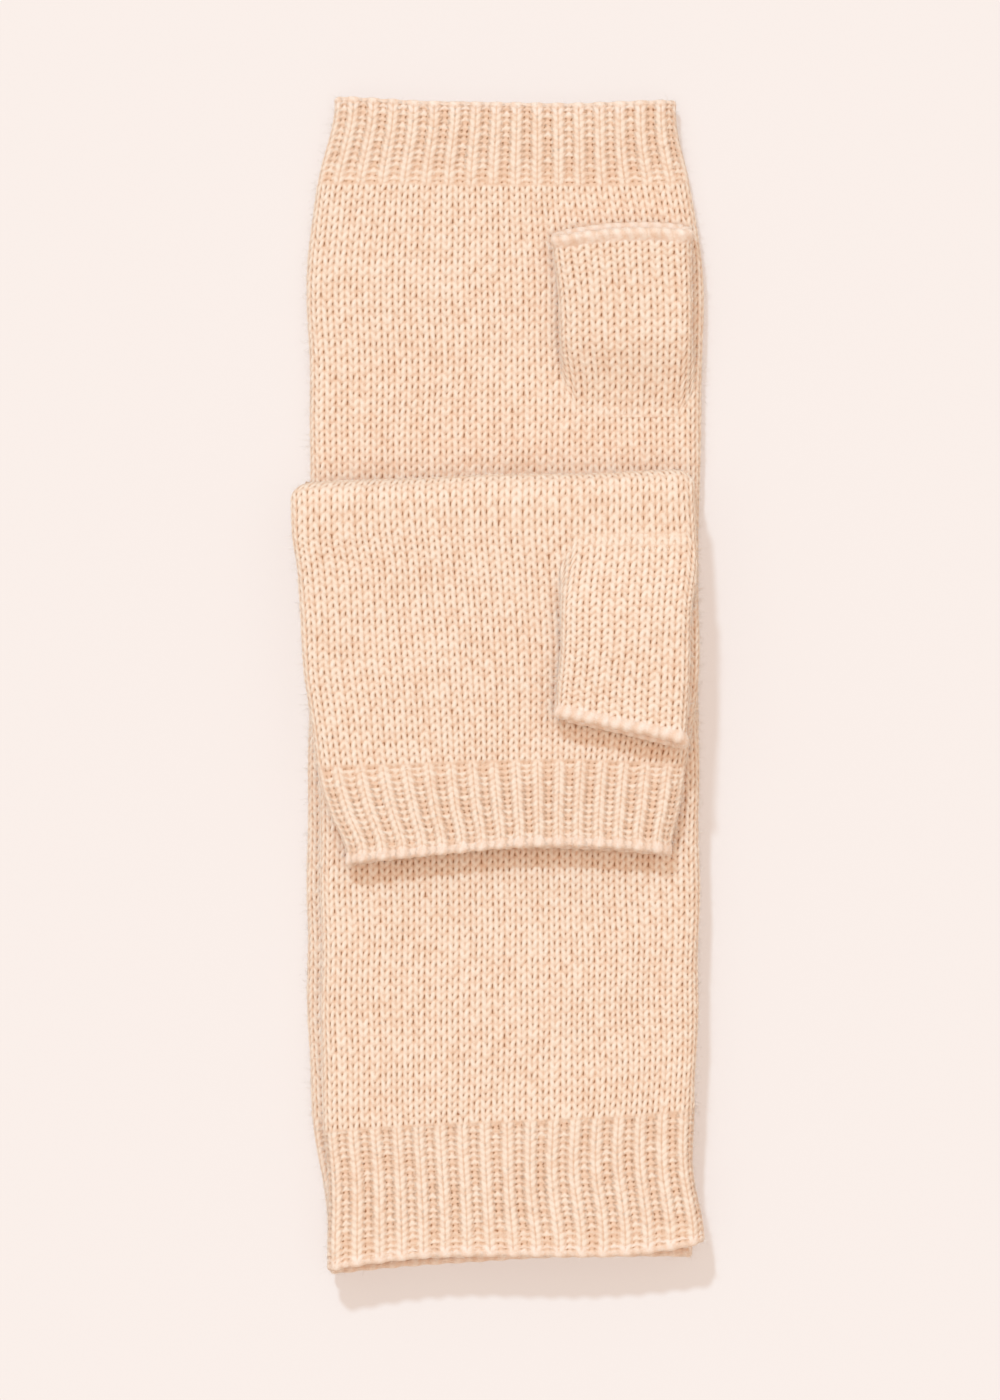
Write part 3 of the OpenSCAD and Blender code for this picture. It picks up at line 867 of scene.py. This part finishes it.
def upper_glove():
    """The folded glove: forearm, fold and hand. Gives its fabric for the thumb."""
    arm = rows_of(["over_cuff_edge", "over_cuff_rib", "over_forearm"], 1)
    hand = rows_of(["over_hand", "over_finger_rib", "over_finger_edge"], -1)
    arm_y, hand_y = arm[:, :2].mean(axis=1), hand[:, :2].mean(axis=1)
    arm_low, arm_high = levels(["over_forearm"])
    hand_low, hand_high = levels(["over_hand"])
    turn_y, turn_z = arm_y[-1], (hand_high + arm_low) / 2
    radius = (hand_high - arm_low) / 2
    turn_front = turn_y + radius
    split_y = turn_y - FOLD_REACH
    # t runs along the fabric: Y up to the split, then round the fold, then back along the hand
    t_split, t_hand = split_y, hand_t(split_y)
    t_mid = (t_split + t_hand) / 2
    outer_line = outer_path(split_y, turn_y, arm_low, hand_high, radius)
    inner_line = inner_path(split_y, turn_front - CREASE, arm_high, turn_z)

    def wall(t, line, arm_z, hand_z, pinch):
        """A wall's y and z: straight on the arm and hand, and along its line on the fold."""
        y = np.where(t < t_mid, t, t_hand + split_y - t)
        near_fold = ease((y - (split_y - PINCH_RUN)) / PINCH_RUN)
        z = np.where(t < t_mid, arm_z - pinch * near_fold, hand_z + pinch * near_fold)
        share = np.clip((t - t_split) / FOLD_LENGTH, 0, 1)
        on_fold = (t > t_split) & (t < t_hand)
        ly, lz = np.interp(share, line[2], line[0]), np.interp(share, line[2], line[1])
        return np.where(on_fold, ly, y), np.where(on_fold, lz, z)

    def far(t):
        return wall(t, outer_line, arm_low, hand_high, 0.0)

    def near(t):
        return wall(t, inner_line, arm_high, hand_low, FOLD_PINCH)

    def dips(t, share, u):
        clear = 1 - ease((np.abs(u) - 0.8) / 0.2)
        away = ease((np.abs(t - t_mid) - FOLD_LENGTH / 2) / SAG_RUN)
        return np.where(t < t_mid, 1 - share, share) * clear * away

    def corners(t, x, share):
        """Rounds the two ends of the fold, as seen from above."""
        outer = 2 * FOLD_REACH + math.pi * radius
        turned = np.minimum(np.abs(t - t_mid) / FOLD_LENGTH * outer / radius, math.pi / 2)
        behind = np.minimum(radius * (1 - np.cos(turned)), CORNER)
        cut = CORNER - np.sqrt(CORNER**2 - (CORNER - behind) ** 2)
        left, right = x.min(axis=1), x.max(axis=1)
        middle, half = (right + left) / 2, (right - left) / 2
        return middle[:, None] + (x - middle[:, None]) * (1 - cut / half)[:, None]

    def fade(t):
        """The relief is stretched flat where the fabric turns over."""
        return 1 - 0.6 * ease(1.2 - np.abs(t - t_mid) / (FOLD_LENGTH * 0.3))

    marks = np.concatenate([arm_y[:-1], [t_split, t_hand], hand_t(hand_y[1:])])
    across = np.concatenate([across_of(arm), across_of(hand)])
    cuff_top = box_rows("over_cuff_rib", 1)[-1]
    hand_top = box_rows("over_finger_rib", -1)[0]
    hems = [
        (arm_y[0], cuff_top - arm_y[0], hem_of("over_cuff_edge", -1)),
        (hand_t(hand_y[-1]), hand_top - hand_y[-1], hem_of("over_finger_edge", -1)),
    ]
    half = (arm_high - arm_low) / 2
    fabric = Fabric(BODY_WALES, BODY_CAP, half, marks, across, near, far, hems, dips, corners)
    edge, hand_end = arm_y[1], hand_t(hand_top)
    finger_edge, finger_end = hand_t(hand_y[-2]), hand_t(hand_y[-1])
    arm_courses = round((t_split - cuff_top) / COURSE)
    hand_courses = round((hand_end - t_hand) / COURSE)
    cuff_courses = round((cuff_top - edge) / RIB_COURSE)
    finger_courses = round((finger_edge - hand_end) / RIB_COURSE)
    hand_first = arm_courses + FOLD_COURSES
    fabric.course = lambda t: hand_first + (t - t_hand) / (hand_end - t_hand) * hand_courses

    part_of = ("upper_forearm", fabric)
    parts = [
        cast_off("upper_cuff_edge", "over_cuff_edge", *part_of, edge, arm_y[0], "rib", 0, CUFF_LIP),
        knitted(
            "upper_cuff_rib", "over_cuff_rib", *part_of, edge, cuff_top, cuff_courses, "rib", 0, end=True
        ),
        seam_yarn("upper_forearm_seam", "over_forearm_seam", *part_of, edge, t_split - SEAM_GAP),
    ]
    piece = knitted(
        "upper_forearm_knit", "over_forearm", *part_of,
        cuff_top, t_split, arm_courses, "jersey", 0, start=True,
    )
    cloth(fabric, cuff_top, t_split)

    seat = [(0, turn_front, turn_z + step) for step in (-FOLD_SEAT, FOLD_SEAT)]
    piece = knitted(
        "upper_fold", "over_fold", ("upper_forearm", "upper_hand", *seat), fabric,
        t_split, t_hand, FOLD_COURSES, "jersey", arm_courses, fade=fade,
    )
    cloth(fabric, t_split, t_hand)

    part_of = ("upper_hand", fabric)
    parts = [
        knitted(
            "upper_finger_rib", "over_finger_rib", *part_of,
            hand_end, finger_edge, finger_courses, "rib", 0, start=True,
        ),
        cast_off(
            "upper_finger_edge", "over_finger_edge", *part_of,
            finger_edge, finger_end, "rib", finger_courses, HAND_LIP,
        ),
        seam_yarn("upper_hand_seam", "over_hand_seam", *part_of, t_hand + SEAM_GAP, finger_edge),
    ]
    piece = knitted(
        "upper_hand_knit", "over_hand", *part_of,
        t_hand, hand_end, hand_courses, "jersey", hand_first, end=True,
    )
    cloth(fabric, t_hand, hand_end)
    return fabric


def hand_t(y):
    """Where a Y on the upper glove's hand is along its fabric."""
    split_y = box_rows("over_forearm", 1)[-1] - FOLD_REACH
    return 2 * split_y + FOLD_LENGTH - y


def box_rows(node, way):
    """Y of the middle of each row of one node, in order along way."""
    return rows_of([node], way)[:, :2].mean(axis=1)


def with_lengths(y, z):
    """Points of a wall's line round the fold, with the share of its length at each."""
    run = np.concatenate([[0], np.cumsum(np.hypot(np.diff(y), np.diff(z)))])
    return y, z, run / run[-1], run[-1]


def outer_path(split_y, turn_y, low, high, radius):
    """Round the outside of the fold, in half a circle between two straight stretches."""
    angle = np.linspace(-math.pi / 2, math.pi / 2, 61)
    middle = (low + high) / 2
    y = np.concatenate([[split_y], turn_y + radius * np.cos(angle), [split_y]])
    z = np.concatenate([[low], middle + radius * np.sin(angle), [high]])
    return with_lengths(y, z)


def inner_path(split_y, tip_y, arm_high, middle):
    """From the pinched forearm to the deepest point of the crease and back, with a round tip."""
    s = np.linspace(0, 1, 41)
    y = split_y + (tip_y - split_y) * np.sin(s * math.pi / 2)
    climb = (1 - np.cos(s * math.pi / 2)) ** 1.5
    lower = (arm_high - FOLD_PINCH) + (middle - arm_high + FOLD_PINCH) * climb
    upper = 2 * middle - lower
    return with_lengths(np.concatenate([y, y[-2::-1]]), np.concatenate([lower, upper[-2::-1]]))


def thumb(prefix, side, palm, palm_t, way, static):
    """The slope, tube and edge of a thumb. palm is the glove's fabric, and palm_t turns y into its t."""
    tube, edge_node, base_node, seam_node = (f"{side}_thumb{s}" for s in ("", "_edge", "_base", "_seam"))
    rows = rows_of([tube, edge_node], way)
    y = rows[:, :2].mean(axis=1)
    low, high = levels([tube])
    hinge = JOINTS[f"{prefix}_thumb_raise"]["pos_m"]
    palm_z = hinge[2]
    start = y[0] * way
    back = start - ROOT_RUN
    foot = hinge[1] * way - FOOT_BACK
    t_ramp = ROOT_RUN
    mouth_t = t_ramp + (y[-1] - y[0]) * way
    edge_t = t_ramp + (y[-2] - y[0]) * way - LIP_REACH

    def far(t):
        along = back + t
        short = MOUTH_STEP * ease((t - mouth_t + MOUTH_RUN) / MOUTH_RUN)
        lift = 0.72 * ease(t / t_ramp) + 0.28 * ease(t / mouth_t)
        return (along - short) * way, palm_z - UPPER_SINK + (high - palm_z + UPPER_SINK) * lift

    def near(t):
        s = np.clip(t / t_ramp, 0, 1)
        along = np.where(t < t_ramp, foot + (start - foot) * s, start + t - t_ramp)
        return along * way, palm_z - LOWER_SINK + (low - palm_z + LOWER_SINK) * ease(s * 1.6)

    slants = across_of(rows)
    slants[0] += (-ROOT_EXTRA[prefix] / 2, ROOT_EXTRA[prefix], 0)
    # the columns of stitches on the slope start on the palm's own columns
    top = palm.at(palm_t(back * way))[0]
    top = top[: len(top) // 2]
    left_x = slants[0, 0] - slants[0, 1] / 2
    nearest = int(np.interp(left_x, top[:, 0], np.arange(len(top))) / PER_WALE)
    columns = np.arange(THUMB_WALES * PER_WALE // 2 + 1) + nearest * PER_WALE
    root_x = np.interp(columns, np.arange(len(top)), top[:, 0])
    over = np.concatenate([root_x, root_x[-2:0:-1]])

    def spread(t, x, share):
        weight = (1 - ease(t / t_ramp))[:, None]
        return x + weight * (over - x)

    def dips(t, share, u):
        begun = ease((t - t_ramp * 0.7) / THUMB_SAG_RUN)
        return 1.1 * share * begun * (1 - ease((np.abs(u) - 0.7) / 0.3))

    marks = np.concatenate([[0.0], t_ramp + (y - y[0]) * way])
    across = np.concatenate([[slants[0]], slants])
    hems = [(mouth_t, mouth_t - t_ramp, hem_of(edge_node, way))]
    half = (high - low) / 2
    fabric = Fabric(THUMB_WALES, THUMB_CAP, half, marks, across, near, far, hems, dips, spread)
    ramp_courses = round(t_ramp / THUMB_COURSE)
    tube_courses = round((edge_t - t_ramp) / THUMB_COURSE)
    first = palm.course(palm_t(back * way)) % 1 + 1
    bend = [(0, hinge[1] + way * step, palm_z + step) for step in (-HINGE_REACH, HINGE_REACH)]
    part_of = ((static, f"{prefix}_thumb", *bend), fabric)
    root = knitted(f"{prefix}_thumb_root", base_node, *part_of, 0.0, t_ramp, ramp_courses, "jersey", first)
    first += ramp_courses
    last = first + tube_courses
    parts = [
        cast_off(f"{prefix}_thumb_edge", edge_node, *part_of, edge_t, mouth_t, "jersey", last, THUMB_LIP),
        seam_yarn(f"{prefix}_thumb_seam", seam_node, *part_of, t_ramp, edge_t),
    ]
    piece = knitted(f"{prefix}_thumb_knit", tube, *part_of, t_ramp, edge_t, tube_courses, "jersey", first)
    cloth(fabric, 0.0, t_ramp)
    cloth(fabric, t_ramp, edge_t)


# --- camera, light and floor ---


def place_camera():
    """A long lens straight above the gloves."""
    scene = bpy.context.scene
    scene.view_settings.view_transform = "Standard"
    scene.view_settings.look = "None"
    camera = bpy.data.cameras.new("camera")
    camera.sensor_fit = "VERTICAL"
    camera.sensor_height = SENSOR
    camera.lens = SENSOR * CAMERA_HEIGHT / VIEW_HEIGHT
    camera.clip_start, camera.clip_end = 0.05, 20
    obj = bpy.data.objects.new("camera", camera)
    obj.location = (*AIM, CAMERA_HEIGHT + cad_box[1][2] * 0.3)
    bpy.context.collection.objects.link(obj)
    scene.camera = obj


def sun(name, energy, tint, way, angle):
    """A sun that shines along way."""
    data = bpy.data.lights.new(name, "SUN")
    data.energy = energy
    data.color = tint
    data.angle = math.radians(angle)
    obj = bpy.data.objects.new(name, data)
    obj.rotation_euler = Vector(way).to_track_quat("-Z", "Y").to_euler()
    bpy.context.collection.objects.link(obj)
    return obj


def light():
    """The world, a soft fill, and two hard suns of one direction: for the gloves and for the table."""
    world = bpy.data.worlds.new("world")
    world.use_nodes = True
    set_inputs(world.node_tree.nodes["Background"], {"Color": (*WARM, 1.0), "Strength": WORLD_STRENGTH})
    bpy.context.scene.world = world
    key = sun("key", 1.35, (0.5, 0.78, 1.0), KEY_WAY, KEY_ANGLE)
    sun("fill", 0.86, WARM, FILL_WAY, FILL_ANGLE)
    table_key = sun("table key", 3.75, (0.66, 0.86, 1.0), KEY_WAY, KEY_ANGLE)
    return key, table_key


def lay_table(key, table_key):
    """The table is as bright as overexposed paper, so that little more than the hard shadow shows on it."""
    bpy.ops.mesh.primitive_grid_add(x_subdivisions=8, y_subdivisions=8, size=6)
    floor = bpy.context.object
    floor.name = "floor"
    floor.location = (0, 0, -TABLE_DROP)
    material = bpy.data.materials.new("floor")
    material.use_nodes = True
    shader = material.node_tree.nodes["Principled BSDF"]
    set_inputs(shader, {"Base Color": TABLE_GREY, "Roughness": 0.9, "Specular IOR Level": 0.0})
    set_inputs(shader, {"Emission Color": TABLE_GLOW, "Emission Strength": 1.0})
    floor.data.materials.append(material)
    # table_key lights the table alone, and key everything but the table
    on_table, on_gloves = (bpy.data.collections.new(n) for n in ("table light", "glove light"))
    on_table.objects.link(floor)
    table_key.light_linking.receiver_collection = on_table
    on_gloves.objects.link(floor)
    key.light_linking.receiver_collection = on_gloves
    on_gloves.collection_objects[0].light_linking.link_state = "EXCLUDE"


place_camera()
lay_table(*light())
lower, upper = lower_glove(), upper_glove()
thumb("lower", "under", lower, lambda y: y, 1, "lower_glove")
thumb("upper", "over", upper, hand_t, -1, "upper_hand")
